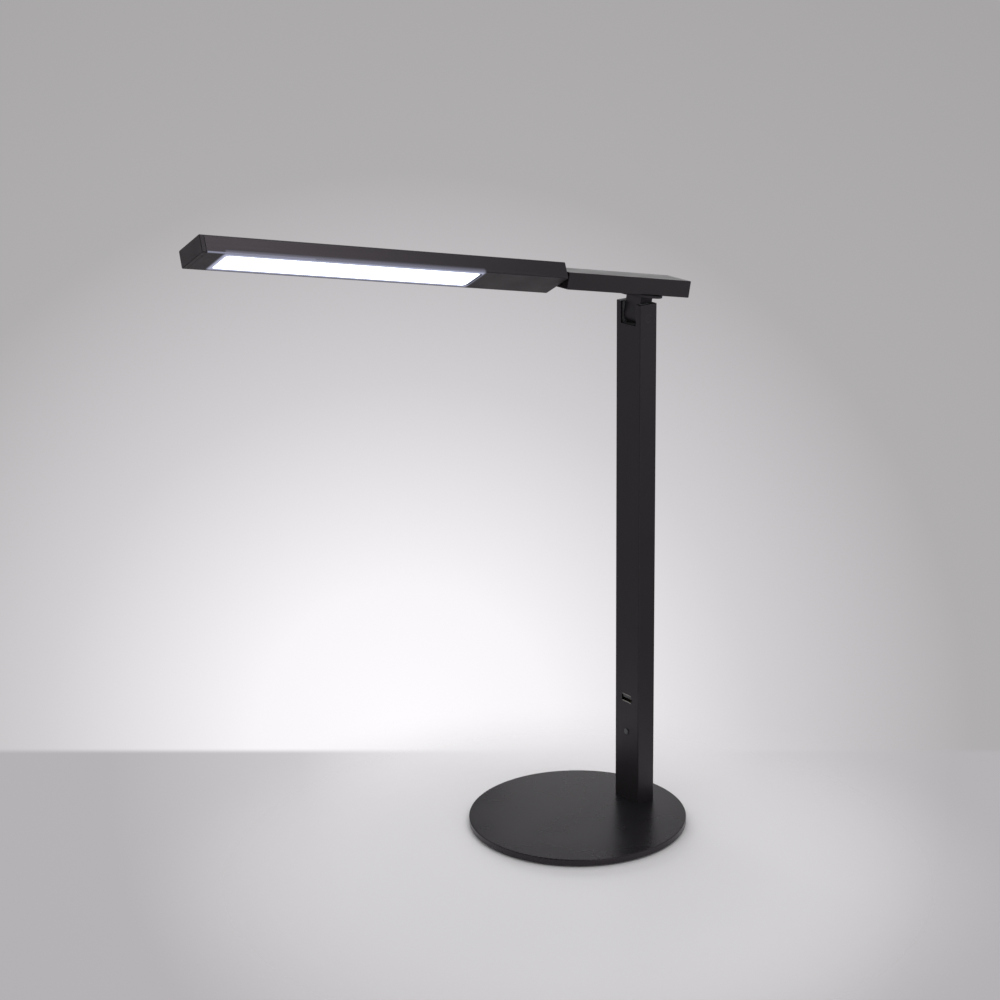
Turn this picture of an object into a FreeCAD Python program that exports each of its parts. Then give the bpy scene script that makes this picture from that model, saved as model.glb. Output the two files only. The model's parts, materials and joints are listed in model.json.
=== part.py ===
import FreeCAD, Part
import math
import os

os.makedirs("parts", exist_ok=True)
V = FreeCAD.Vector

# A desk lamp with a round base, a rectangular post, a tilting and swivelling arm and a long light head.
# Millimetres and degrees. The origin is at table level under the middle of the base, +X is the way
# the head reaches, +Y is the side with the near edge of the head, and +Z is up.

# Base
base_dia = 180.0
base_thick = 5.5
base_edge = 0.8
pad_thick = 1.0
pad_inset = 4.0
base_screw_dia = 5.0
base_screw_length = 14.0
base_screw_head = 8.5
base_screw_head_tall = 2.8
base_screw_socket = 4.0
base_screw_spread = 16.0

# Post
post_from_rim = 29.6
post_width = 30.5
post_depth = 17.0
post_height = 426.0
post_wall = 2.0
post_corner = 1.0
post_top_edge = 0.5
rib_thick = 1.0
rib_tall = 1.2
foot_tall = 20.0
foot_screw_dia = 3.0
foot_screw_head = 5.4
foot_screw_length = 7.0
foot_screw_pitch = 8.0

# Fork and tilt hinge
slot_width = 19.2
slot_depth = 18.0
notch_depth = 13.2
fork_length = 30.0
pin_drop = 11.5
pin_dia = 6.0
pin_inset = 0.2
tilt_washer_dia = 11.0
tilt_washer_thick = 0.5

# Knuckle and swivel
tongue_depth = 11.8
neck_reach = 16.35
neck_blend = 1.2
flange_dia = 36.0
flange_thick = 1.8
flange_edge = 0.5
swivel_washer_dia = 28.0
swivel_washer_thick = 0.35
spindle_stub_dia = 8.0
spindle_stub_length = 9.0
spindle_journal_dia = 10.0
swivel_spring_dia = 16.0
swivel_spring_thick = 1.0
swivel_nut_flats = 13.0
swivel_nut_tall = 3.0
thread_end = 0.5

# Arm
arm_width = 30.0
arm_thick = 13.5
arm_front = 85.3
arm_rear = 38.5
arm_wall = 1.6
arm_edge = 0.7
arm_floor_thick = 1.6
arm_boss_dia = 5.0
arm_boss_inset = 5.0
arm_screw_dia = 2.5
arm_screw_head = 4.4
arm_screw_length = 6.0

# Roll hinge
head_gap = 1.6
roll_dia = 6.0
roll_thread_dia = 5.0
roll_collar_dia = 10.0
roll_block_length = 18.0
roll_spring_dia = 9.0
roll_spring_thick = 0.8
roll_nut_flats = 8.0
roll_nut_tall = 2.7

# Head
head_length = 322.8
head_width = 30.0
head_thick = 13.8
head_roof = 2.0
head_wall = 1.6
head_edge = 1.2
head_seam = 0.25
cover_thick = 1.5
leg_thick = 0.8
leg_tall = 3.6
snap_ridge = 0.35
tip_cap_length = 3.6
tip_plug_length = 8.0
rear_block_length = 16.0
rear_screw_dia = 2.5
rear_screw_head = 4.4
rear_screw_spread = 17.0
rear_screw_skin = 0.6
window_from_rear = 78.6
window_from_tip = 21.4
window_width = 23.0
window_corner = 3.0
diffuser_back = 0.5
diffuser_rim = 3.0
diffuser_rim_thick = 1.0
reflector_thick = 0.6
reflector_top_width = 18.0
reflector_slope_run = 4.0
led_board_width = 21.0
board_thick = 1.2
led_rows = 2
led_row_pitch = 8.0
led_count = 24
led_length = 3.0
led_width = 1.6
led_tall = 0.8
driver_from_block = 14.0
driver_length = 38.0
driver_width = 20.0

# Charging socket, button and power inlet in the post
usb_height = 96.3
usb_width = 13.1
usb_tall = 5.7
usb_depth = 10.0
usb_skin = 0.3
usb_corner = 0.6
usb_lip = 0.5
usb_lip_thick = 0.7
usb_tongue_width = 11.1
usb_tongue_thick = 1.84
usb_tongue_back = 2.0
usb_tongue_short = 0.8
usb_contact_width = 1.0
usb_contact_thick = 0.2
usb_contact_length = 5.5
usb_contact_pitch = 2.4
board_above_usb = 22.0
button_height = 66.8
button_dia = 5.0
button_proud = 0.9
button_travel = 0.6
button_edge = 0.4
button_flange_dia = 7.0
button_flange_thick = 1.0
button_stalk_dia = 3.0
switch_size = 6.0
switch_tall = 3.5
plunger_dia = 3.3
plunger_out = 1.0
plunger_in = 0.5
inlet_height = 43.0
inlet_barrel_dia = 8.0
inlet_block_width = 10.0
inlet_block_tall = 10.0
inlet_block_depth = 9.0
inlet_bore_dia = 5.6
inlet_bore_depth = 9.0
inlet_pin_dia = 2.0
inlet_pin_short = 0.8
inlet_pin_root = 1.0
choke_size = 7.0
choke_tall = 4.0
capacitor_dia = 6.0
capacitor_tall = 6.5
chip_length = 5.0
chip_width = 4.0
chip_tall = 1.6

# Internal lead
wire_dia = 2.0
wire_bend = 4.0
wire_bore = 3.0
shaft_bore = 2.6
wire_rise = 2.4
wire_step = 14.0
wire_straight = 6.0

# Pose in the photograph: arm above level, and head rolled with its near edge up
tilt_rest = 10.9
roll_rest = 32.5

# Clearances: a piece in its pocket, a turning fit, a sliding face, a screw in its hole
fit_gap = 0.1
run_gap = 0.05
slip_gap = 0.05
thread_gap = 0.04
over = 1.0

# Places worked out from the sizes
post_x = -(base_dia / 2 - post_from_rim)
post_z0 = pad_thick + base_thick
post_z1 = post_z0 + post_height
post_front = post_x + post_depth / 2
post_rear = post_x - post_depth / 2
bore_front = post_front - post_wall
bore_rear = post_rear + post_wall
bore_half = post_width / 2 - post_wall
foot_z1 = post_z0 + foot_tall
fork_z0 = post_z1 - fork_length
slot_floor = post_z1 - slot_depth
notch_floor = post_z1 - notch_depth
pin_z = post_z1 - pin_drop
tongue_width = slot_width - 2 * tilt_washer_thick - 2 * slip_gap
board_front = post_front - usb_depth
board_rear = board_front - board_thick
board_z1 = usb_height + board_above_usb
rail_front = board_front + fit_gap + rib_thick
rail_rear = board_rear - fit_gap - rib_thick
switch_face = board_front + switch_tall
plunger_face = switch_face + plunger_out
inlet_face = bore_rear + inlet_block_depth
inlet_floor = post_rear + inlet_bore_depth

flange_z0 = neck_reach
flange_z1 = flange_z0 + flange_thick
arm_axis_up = flange_z1 + swivel_washer_thick + arm_thick / 2
floor_z1 = -arm_thick / 2 + arm_floor_thick
arm_roof_z = arm_thick / 2 - arm_wall
arm_bore_half = arm_width / 2 - arm_wall
swivel_spring_z = floor_z1 + slip_gap
swivel_nut_z = swivel_spring_z + swivel_spring_thick
spindle_top = swivel_nut_z + swivel_nut_tall + thread_end
boss_xs = (-arm_rear + arm_wall + arm_boss_inset,
           arm_front - arm_wall - roll_block_length - arm_boss_inset)
boss_y = arm_bore_half - arm_boss_dia / 2

roll_block_x1 = arm_front - arm_wall
roll_block_x0 = roll_block_x1 - roll_block_length
roll_spring_x1 = roll_block_x0 - slip_gap
roll_nut_x1 = roll_spring_x1 - roll_spring_thick
shaft_x0 = roll_nut_x1 - roll_nut_tall - thread_end

head_x0 = arm_front + head_gap
head_x1 = head_x0 + head_length
cap_x = head_x1 - tip_cap_length
head_under = -head_thick / 2
head_roof_z = head_thick / 2 - head_roof
head_bore_half = head_width / 2 - head_wall
cover_half = head_bore_half - fit_gap
cover_top = head_under + cover_thick
leg_inner = cover_half - leg_thick
leg_x0 = head_x0 + rear_block_length + fit_gap
leg_x1 = cap_x - tip_plug_length - fit_gap
ridge_z = cover_top + leg_tall / 2
window_x0 = head_x0 + window_from_rear
window_x1 = head_x1 - window_from_tip
rim_top = cover_top + diffuser_rim_thick
led_board_under = head_roof_z - board_thick
rear_block_x1 = head_x0 + rear_block_length
driver_x0 = rear_block_x1 + driver_from_block
driver_x1 = driver_x0 + driver_length

tilt_place = FreeCAD.Placement(V(post_x, 0, pin_z), FreeCAD.Rotation(V(0, 1, 0), -tilt_rest))
arm_place = tilt_place.multiply(FreeCAD.Placement(V(0, 0, arm_axis_up), FreeCAD.Rotation()))
head_place = arm_place.multiply(FreeCAD.Placement(V(0, 0, 0), FreeCAD.Rotation(V(1, 0, 0), roll_rest)))
stand_place = FreeCAD.Placement()


# Shapes that many pieces share

def span(middle, width):
    return (middle - width / 2, middle + width / 2)


def box(xs, ys, zs):
    return Part.makeBox(xs[1] - xs[0], ys[1] - ys[0], zs[1] - zs[0], V(xs[0], ys[0], zs[0]))


def rod(dia, start, end):
    way = V(*end) - V(*start)
    return Part.makeCylinder(dia / 2, way.Length, V(*start), way)


def ring(outer, inner, start, end):
    return rod(outer, start, end).cut(rod(inner, start, end))


def edges_along(shape, way):
    found = []
    for edge in shape.Edges:
        if not isinstance(edge.Curve, Part.Line):
            continue
        if edge.tangentAt(edge.FirstParameter).cross(way).Length < 1e-6:
            found.append(edge)
    return found


def edges_at_height(shape, z):
    return [e for e in shape.Edges if abs(e.BoundBox.ZMin - z) < 1e-6 and abs(e.BoundBox.ZMax - z) < 1e-6]


def edges_at_x(shape, x):
    return [e for e in shape.Edges if abs(e.BoundBox.XMin - x) < 1e-6 and abs(e.BoundBox.XMax - x) < 1e-6]


def rounded(shape, radius, way):
    return shape.makeFillet(radius, edges_along(shape, way))


def prism(points, way):
    outline = [V(*point) for point in points]
    return Part.Face(Part.makePolygon(outline + outline[:1])).extrude(V(*way))


def hex_bar(flats, start, end):
    way = V(*end) - V(*start)
    turn = FreeCAD.Rotation(V(0, 0, 1), way)
    radius = flats / math.sqrt(3)
    corners = []
    for k in range(6):
        corner = V(radius * math.cos(math.radians(60 * k)), radius * math.sin(math.radians(60 * k)), 0)
        corners.append(V(*start) + turn.multVec(corner))
    return Part.Face(Part.makePolygon(corners + corners[:1])).extrude(way)


def hex_nut(flats, hole, start, end):
    return hex_bar(flats, start, end).cut(rod(hole, start, end))


def sunk_screw(head, shank, length, at, way, gap=0.0):
    """Countersunk screw from its outer face at a point; with a gap it is the hole for that screw."""
    slope = (head - shank) / 2
    aim = V(*way)
    cone = Part.makeCone(head / 2 + gap, shank / 2 + gap, slope, V(*at), aim)
    tail = V(*at) + aim * (length + gap)
    return cone.fuse(rod(shank + 2 * gap, V(*at) + aim * slope, tail)).removeSplitter()


def lead(points, dia, bend):
    """Round wire along straight runs joined by tangent arcs."""
    corners = [V(*point) for point in points]
    here = corners[0]
    path = []
    for before, corner, after in zip(corners, corners[1:], corners[2:]):
        come = (corner - before).normalize()
        leave = (after - corner).normalize()
        half_turn = come.getAngle(leave) / 2
        start = corner - come * (bend * math.tan(half_turn))
        end = corner + leave * (bend * math.tan(half_turn))
        inward = (leave - come).normalize()
        middle = corner + inward * (bend / math.cos(half_turn) - bend)
        path.append(Part.makeLine(here, start))
        path.append(Part.Arc(start, middle, end).toShape())
        here = end
    path.append(Part.makeLine(here, corners[-1]))
    section = Part.Wire(Part.makeCircle(dia / 2, corners[0], corners[1] - corners[0]))
    return Part.Wire(path).makePipeShell([section], True, False)


def save(name, shape, place):
    solids = shape if isinstance(shape, list) else [shape]
    whole = Part.makeCompound(solids) if len(solids) > 1 else solids[0]
    placed = whole.copy()
    placed.Placement = place.multiply(whole.Placement)
    placed.exportStep("parts/" + name + ".step")
    print(name, len(placed.Solids), placed.isValid(), round(placed.Volume, 1))


# Base

base_screw_ys = span(0, base_screw_spread)
base_screw_seat = pad_thick + base_screw_head_tall + fit_gap


def base_plate():
    disc = Part.makeCylinder(base_dia / 2, base_thick, V(0, 0, pad_thick))
    rims = [edge for edge in disc.Edges if isinstance(edge.Curve, Part.Circle)]
    disc = disc.makeFillet(base_edge, rims)
    for y in base_screw_ys:
        disc = disc.cut(rod(base_screw_dia + 2 * fit_gap, (post_x, y, 0), (post_x, y, post_z0 + over)))
        disc = disc.cut(rod(base_screw_head + 2 * fit_gap, (post_x, y, 0), (post_x, y, base_screw_seat)))
    return disc


def base_pad():
    return Part.makeCylinder(base_dia / 2 - pad_inset, pad_thick)


def base_screw(y):
    low = base_screw_seat - base_screw_head_tall
    head = rod(base_screw_head, (post_x, y, low), (post_x, y, base_screw_seat))
    shank = rod(base_screw_dia, (post_x, y, base_screw_seat),
                (post_x, y, base_screw_seat + base_screw_length))
    socket = hex_bar(base_screw_socket, (post_x, y, low), (post_x, y, low + base_screw_head_tall / 2))
    return head.fuse(shank).cut(socket)


save("base_plate", base_plate(), stand_place)
save("base_pad", base_pad(), stand_place)
save("base_screws", [base_screw(y) for y in base_screw_ys], stand_place)


# Post: a rectangular extrusion with two pairs of ribs that hold a board on edge

def post_ribs():
    ribs = []
    for side in (-1, 1):
        ys = sorted((side * bore_half, side * (bore_half - rib_tall)))
        ribs.append(box((rail_front - rib_thick, rail_front), ys, (post_z0, post_z1)))
        ribs.append(box((rail_rear, rail_rear + rib_thick), ys, (post_z0, post_z1)))
    return ribs


def post_plug(low, high):
    """Block that fills the inside of the post between two heights."""
    return box((bore_rear + fit_gap, bore_front - fit_gap), span(0, 2 * (bore_half - fit_gap)), (low, high))


def rib_relief(shape):
    """Clear the sides of a block that slides down the post past the ribs."""
    zs = (shape.BoundBox.ZMin - over, shape.BoundBox.ZMax + over)
    for side in (-1, 1):
        ys = sorted((side * (bore_half + over), side * (bore_half - rib_tall - fit_gap)))
        shape = shape.cut(box((rail_rear - fit_gap, rail_front + fit_gap), ys, zs))
    return shape


def fork_slot():
    """Slot for the tongue: open to the front, with a lower sill at the back that stops the tilt."""
    slot = box((bore_rear, post_front + over), span(0, slot_width), (slot_floor, post_z1 + over))
    notch = box((post_rear - over, bore_rear + over), span(0, slot_width), (notch_floor, post_z1 + over))
    return slot.fuse(notch)


def pin_hole(dia):
    half = post_width / 2 + over
    return rod(dia, (post_x, -half, pin_z), (post_x, half, pin_z))


def foot_screw(z, gap=0.0):
    return sunk_screw(foot_screw_head, foot_screw_dia, foot_screw_length, (post_rear, 0, z), (1, 0, 0), gap)


foot_screw_zs = span(post_z0 + foot_tall / 2, foot_screw_pitch)


def post_tube():
    tube = box(span(post_x, post_depth), span(0, post_width), (post_z0, post_z1))
    tube = rounded(tube, post_corner, V(0, 0, 1))
    tube = tube.makeFillet(post_top_edge, edges_at_height(tube, post_z1))
    hollow = box((bore_rear, bore_front), span(0, 2 * bore_half), (post_z0 - over, post_z1 + over))
    for rib in post_ribs():
        hollow = hollow.cut(rib)
    tube = tube.cut(hollow).cut(fork_slot()).cut(pin_hole(pin_dia + 2 * thread_gap))
    mouth = box((bore_front - over, post_front + over), span(0, usb_width + 2 * (usb_lip + fit_gap)),
                span(usb_height, usb_tall + 2 * (usb_lip + fit_gap)))
    tube = tube.cut(rounded(mouth, usb_corner + usb_lip + fit_gap, V(1, 0, 0)))
    tube = tube.cut(rod(button_dia + 2 * run_gap, (bore_front - over, 0, button_height),
                        (post_front + over, 0, button_height)))
    tube = tube.cut(rod(inlet_barrel_dia + 2 * fit_gap, (post_rear - over, 0, inlet_height),
                        (bore_rear + over, 0, inlet_height)))
    for z in foot_screw_zs:
        tube = tube.cut(foot_screw(z, thread_gap))
    return tube


def post_foot():
    foot = rib_relief(post_plug(post_z0, foot_z1))
    for y in base_screw_ys:
        hole_top = base_screw_seat + base_screw_length + fit_gap
        foot = foot.cut(rod(base_screw_dia + 2 * thread_gap, (post_x, y, post_z0 - over),
                            (post_x, y, hole_top)))
    for z in foot_screw_zs:
        foot = foot.cut(foot_screw(z, thread_gap))
    return foot


def fork_insert():
    block = rib_relief(post_plug(fork_z0, post_z1)).cut(fork_slot()).cut(pin_hole(pin_dia + 2 * thread_gap))
    wire_x = (board_front + board_rear) / 2
    return block.cut(rod(wire_bore, (wire_x, 0, fork_z0 - over), (wire_x, 0, slot_floor + over)))


def tilt_pin():
    half = post_width / 2 - pin_inset
    return rod(pin_dia, (post_x, -half, pin_z), (post_x, half, pin_z))


def tilt_washer(side):
    face = side * slot_width / 2
    return ring(tilt_washer_dia, pin_dia + 2 * thread_gap, (post_x, face, pin_z),
                (post_x, face - side * tilt_washer_thick, pin_z))


save("post_tube", post_tube(), stand_place)
save("post_foot", post_foot(), stand_place)
save("foot_screws", [foot_screw(z) for z in foot_screw_zs], stand_place)
save("fork_insert", fork_insert(), stand_place)
save("tilt_pin", tilt_pin(), stand_place)
save("tilt_washers", [tilt_washer(side) for side in (-1, 1)], stand_place)


# Power board on edge in the post, with what is soldered to it

def power_board():
    board = box((board_rear, board_front), span(0, 2 * (bore_half - fit_gap)), (foot_z1, board_z1))
    notch_top = inlet_height + inlet_block_tall / 2
    notch = box((board_rear - over, board_front + over), span(0, inlet_block_width + 2 * fit_gap),
                (foot_z1 - over, notch_top))
    return board.cut(notch)


def power_parts():
    choke_z = (usb_height + button_height) / 2
    choke = box((board_front, board_front + choke_tall), span(0, choke_size), span(choke_z, choke_size))
    choke = rounded(choke, choke_size / 5, V(1, 0, 0))
    can_z = board_z1 - capacitor_dia
    can = rod(capacitor_dia, (board_front, -bore_half / 2, can_z),
              (board_front + capacitor_tall, -bore_half / 2, can_z))
    chip = box((board_front, board_front + chip_tall), span(bore_half / 2, chip_width),
               span(can_z, chip_length))
    return [choke, can, chip]


def usb_shell():
    outer = box((board_front, post_front), span(0, usb_width), span(usb_height, usb_tall))
    lip = box((post_front - usb_lip_thick, post_front), span(0, usb_width + 2 * usb_lip),
              span(usb_height, usb_tall + 2 * usb_lip))
    outer = rounded(outer, usb_corner, V(1, 0, 0)).fuse(rounded(lip, usb_corner + usb_lip, V(1, 0, 0)))
    inner = box((board_front - over, post_front + over), span(0, usb_width - 2 * usb_skin),
                span(usb_height, usb_tall - 2 * usb_skin))
    return outer.removeSplitter().cut(rounded(inner, usb_corner - usb_skin, V(1, 0, 0)))


def usb_tongue():
    slack = usb_skin + fit_gap
    back = box((board_front, board_front + usb_tongue_back), span(0, usb_width - 2 * slack),
               span(usb_height, usb_tall - 2 * slack))
    blade = box((board_front, post_front - usb_tongue_short), span(0, usb_tongue_width),
                (usb_height, usb_height + usb_tongue_thick))
    return rounded(back, usb_corner - usb_skin, V(1, 0, 0)).fuse(blade).removeSplitter()


def usb_contact(k):
    tip = post_front - usb_tongue_short - usb_contact_thick
    y = (k - 1.5) * usb_contact_pitch
    return box((tip - usb_contact_length, tip), span(y, usb_contact_width),
               (usb_height - usb_contact_thick, usb_height))


def inlet_body():
    block = box((bore_rear, inlet_face), span(0, inlet_block_width), span(inlet_height, inlet_block_tall))
    barrel = rod(inlet_barrel_dia, (post_rear, 0, inlet_height), (bore_rear + over, 0, inlet_height))
    bore = rod(inlet_bore_dia, (post_rear - over, 0, inlet_height), (inlet_floor, 0, inlet_height))
    pin_seat = rod(inlet_pin_dia + 2 * thread_gap, (inlet_floor - over, 0, inlet_height),
                   (inlet_floor + inlet_pin_root, 0, inlet_height))
    return block.fuse(barrel).cut(bore).cut(pin_seat)


def inlet_pin():
    pin = rod(inlet_pin_dia, (post_rear + inlet_pin_short, 0, inlet_height),
              (inlet_floor + inlet_pin_root, 0, inlet_height))
    return pin.makeFillet(inlet_pin_dia / 4, edges_at_x(pin, post_rear + inlet_pin_short))


def switch_body():
    body = box((board_front, switch_face), span(0, switch_size), span(button_height, switch_size))
    well = switch_face - plunger_in - button_travel - fit_gap
    return body.cut(rod(plunger_dia + 2 * fit_gap, (well, 0, button_height),
                        (switch_face + over, 0, button_height)))


def switch_plunger():
    return rod(plunger_dia, (switch_face - plunger_in, 0, button_height), (plunger_face, 0, button_height))


def button_cap():
    face = post_front + button_proud
    flange_x = bore_front - slip_gap
    cap = rod(button_dia, (flange_x - button_flange_thick, 0, button_height), (face, 0, button_height))
    cap = cap.makeFillet(button_edge, edges_at_x(cap, face))
    flange = rod(button_flange_dia, (flange_x - button_flange_thick, 0, button_height),
                 (flange_x, 0, button_height))
    stalk = rod(button_stalk_dia, (plunger_face, 0, button_height), (flange_x, 0, button_height))
    return cap.fuse(flange).fuse(stalk).removeSplitter()


def post_wire():
    wire_x = (board_front + board_rear) / 2
    return rod(wire_dia, (wire_x, 0, board_z1), (wire_x, 0, slot_floor))


save("power_board", power_board(), stand_place)
save("power_parts", power_parts(), stand_place)
save("usb_shell", usb_shell(), stand_place)
save("usb_tongue", usb_tongue(), stand_place)
save("usb_contacts", [usb_contact(k) for k in range(4)], stand_place)
save("inlet_body", inlet_body(), stand_place)
save("inlet_pin", inlet_pin(), stand_place)
save("switch_body", switch_body(), stand_place)
save("switch_plunger", switch_plunger(), stand_place)
save("button_cap", button_cap(), stand_place)
save("post_wire", post_wire(), stand_place)


# Knuckle: rounded tongue on the pin, neck, and the round flange that the arm turns on.
# Its own frame has the pin's middle at the origin, X along the arm and Z up the neck.

def knuckle():
    half = tongue_width / 2
    end = rod(tongue_depth, (0, -half, 0), (0, half, 0))
    neck = box(span(0, tongue_depth), span(0, tongue_width), (0, flange_z0 + flange_thick / 2))
    flange = Part.makeCylinder(flange_dia / 2, flange_thick, V(0, 0, flange_z0))
    flange = flange.makeFillet(flange_edge, edges_at_height(flange, flange_z0))
    body = end.fuse(neck).fuse(flange).removeSplitter()
    root = []
    for edge in edges_at_height(body, flange_z0):
        if isinstance(edge.Curve, Part.Line):
            root.append(edge)
    body = body.makeFillet(neck_blend, root)
    body = body.cut(rod(pin_dia + 2 * run_gap, (0, -half - over, 0), (0, half + over, 0)))
    stub_floor = flange_z1 - spindle_stub_length
    body = body.cut(rod(spindle_stub_dia + 2 * thread_gap, (0, 0, stub_floor), (0, 0, flange_z1 + over)))
    turn_z = pin_dia / 2 + wire_bore
    body = body.cut(rod(wire_bore, (0, 0, turn_z), (0, 0, stub_floor + over)))
    return body.cut(rod(wire_bore, (0, 0, turn_z), (-tongue_depth, 0, turn_z)))


def swivel_spindle():
    journal_top = arm_axis_up + swivel_spring_z
    top = arm_axis_up + spindle_top
    low = flange_z1 - spindle_stub_length
    core = rod(spindle_stub_dia, (0, 0, low), (0, 0, top))
    journal = rod(spindle_journal_dia, (0, 0, flange_z1), (0, 0, journal_top))
    return core.fuse(journal).removeSplitter().cut(rod(wire_bore, (0, 0, low - over), (0, 0, top + over)))


def swivel_washer():
    return ring(swivel_washer_dia, spindle_journal_dia + 2 * thread_gap, (0, 0, flange_z1),
                (0, 0, flange_z1 + swivel_washer_thick - slip_gap))


def swivel_spring():
    low = arm_axis_up + swivel_spring_z
    return ring(swivel_spring_dia, spindle_stub_dia + 2 * thread_gap, (0, 0, low),
                (0, 0, low + swivel_spring_thick))


def swivel_nut():
    low = arm_axis_up + swivel_nut_z
    return hex_nut(swivel_nut_flats, spindle_stub_dia + 2 * thread_gap, (0, 0, low),
                   (0, 0, low + swivel_nut_tall))


save("knuckle", knuckle(), tilt_place)
save("swivel_spindle", swivel_spindle(), tilt_place)
save("swivel_washer", swivel_washer(), tilt_place)
save("swivel_spring", swivel_spring(), tilt_place)
save("swivel_nut", swivel_nut(), tilt_place)


# Arm: a shell open below, closed by a floor plate that turns on the spindle.
# Its own frame has X along the arm's middle line and the swivel axis at X = 0.

boss_spots = [(x, side * boss_y) for x in boss_xs for side in (-1, 1)]


def arm_screw(x, y, gap=0.0):
    at = (x, y, -arm_thick / 2)
    return sunk_screw(arm_screw_head, arm_screw_dia, arm_screw_length, at, (0, 0, 1), gap)


def arm_shell():
    shell = box((-arm_rear, arm_front), span(0, arm_width), span(0, arm_thick))
    shell = shell.makeFillet(arm_edge, shell.Edges)
    hollow = box((-arm_rear + arm_wall, arm_front - arm_wall), span(0, 2 * arm_bore_half),
                 (-arm_thick / 2 - over, arm_roof_z))
    for x, y in boss_spots:
        hollow = hollow.cut(rod(arm_boss_dia, (x, y, floor_z1), (x, y, arm_roof_z + over)))
    shell = shell.cut(hollow)
    for x, y in boss_spots:
        shell = shell.cut(arm_screw(x, y, thread_gap))
    return shell.cut(rod(roll_dia + 2 * fit_gap, (roll_block_x1 - over, 0, 0), (arm_front + over, 0, 0)))


def arm_floor():
    plate = box((-arm_rear + arm_wall + fit_gap, arm_front - arm_wall - fit_gap),
                span(0, 2 * (arm_bore_half - fit_gap)), (-arm_thick / 2, floor_z1))
    plate = plate.cut(rod(spindle_journal_dia + 2 * run_gap, (0, 0, -arm_thick), (0, 0, arm_thick)))
    for x, y in boss_spots:
        plate = plate.cut(arm_screw(x, y, thread_gap))
    return plate


def roll_block():
    block = box((roll_block_x0, roll_block_x1), span(0, 2 * (arm_bore_half - fit_gap)),
                (floor_z1, arm_roof_z))
    return block.cut(rod(roll_dia + 2 * run_gap, (roll_block_x0 - over, 0, 0), (roll_block_x1 + over, 0, 0)))


def arm_wire():
    start = shaft_x0 - wire_straight
    route = [(0, 0, -arm_thick / 2), (0, 0, wire_rise), (start - wire_step, 0, wire_rise),
             (start, 0, 0), (head_x0, 0, 0)]
    return lead(route, wire_dia, wire_bend)


save("arm_shell", arm_shell(), arm_place)
save("arm_floor", arm_floor(), arm_place)
save("arm_screws", [arm_screw(x, y) for x, y in boss_spots], arm_place)
save("roll_block", roll_block(), arm_place)
save("arm_wire", arm_wire(), arm_place)


# Roll hinge: a hollow shaft fixed in the head and turning in the arm's block

def roll_shaft():
    shaft = rod(roll_dia, (roll_block_x0 - slip_gap, 0, 0), (rear_block_x1, 0, 0))
    thread = rod(roll_thread_dia, (shaft_x0, 0, 0), (roll_block_x0, 0, 0))
    collar = rod(roll_collar_dia, (arm_front + slip_gap, 0, 0), (head_x0, 0, 0))
    bore = rod(shaft_bore, (shaft_x0 - over, 0, 0), (rear_block_x1 + over, 0, 0))
    return shaft.fuse(thread).fuse(collar).removeSplitter().cut(bore)


def roll_spring():
    return ring(roll_spring_dia, roll_thread_dia + 2 * thread_gap, (roll_spring_x1, 0, 0),
                (roll_spring_x1 - roll_spring_thick, 0, 0))


def roll_nut():
    return hex_nut(roll_nut_flats, roll_thread_dia + 2 * thread_gap, (roll_nut_x1, 0, 0),
                   (roll_nut_x1 - roll_nut_tall, 0, 0))


save("roll_shaft", roll_shaft(), head_place)
save("roll_spring", roll_spring(), head_place)
save("roll_nut", roll_nut(), head_place)


# Head: an extruded channel, a snap-in cover with a window, a tip cap and a rear block

def rear_screw(y, gap=0.0):
    x = head_x0 + rear_block_length / 2
    length = head_thick / 2 - rear_screw_skin - cover_top
    return sunk_screw(rear_screw_head, rear_screw_dia, length - gap, (x, y, cover_top), (0, 0, 1), gap)


rear_screw_ys = span(0, rear_screw_spread)


def ridge(side, x0, x1, gap):
    """Snap ridge along a cover leg, or with a gap the groove for it."""
    root = side * (cover_half - fit_gap)
    tip = side * (cover_half + snap_ridge + gap)
    rise = snap_ridge + fit_gap + gap
    outline = [(x0, root, ridge_z - rise), (x0, tip, ridge_z), (x0, root, ridge_z + rise)]
    return prism(outline, (x1 - x0, 0, 0))


def head_housing():
    shell = rounded(box((head_x0, cap_x), span(0, head_width), span(0, head_thick)), head_edge, V(1, 0, 0))
    shell = shell.makeChamfer(head_seam, edges_at_x(shell, head_x0) + edges_at_x(shell, cap_x))
    shell = shell.cut(box((head_x0 - over, cap_x + over), span(0, 2 * head_bore_half),
                          (-head_thick, head_roof_z)))
    for side in (-1, 1):
        shell = shell.cut(ridge(side, head_x0 - over, cap_x + over, fit_gap))
    for y in rear_screw_ys:
        shell = shell.cut(rear_screw(y, thread_gap))
    return shell


def head_cover():
    plate = box((head_x0, cap_x), span(0, 2 * cover_half), (head_under, cover_top))
    for side in (-1, 1):
        ys = sorted((side * cover_half, side * leg_inner))
        plate = plate.fuse(box((leg_x0, leg_x1), ys, (cover_top, cover_top + leg_tall)))
        plate = plate.fuse(ridge(side, leg_x0, leg_x1, 0.0))
    window = box((window_x0, window_x1), span(0, window_width), (head_under - over, cover_top + over))
    return plate.removeSplitter().cut(rounded(window, window_corner, V(0, 0, 1)))


def tip_cap():
    cap = rounded(box((cap_x, head_x1), span(0, head_width), span(0, head_thick)), head_edge, V(1, 0, 0))
    cap = cap.makeFillet(head_edge / 2, edges_at_x(cap, head_x1))
    cap = cap.makeChamfer(head_seam, edges_at_x(cap, cap_x))
    plug = box((cap_x - tip_plug_length, cap_x), span(0, 2 * cover_half), (cover_top, head_roof_z - fit_gap))
    return cap.fuse(plug)


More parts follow.
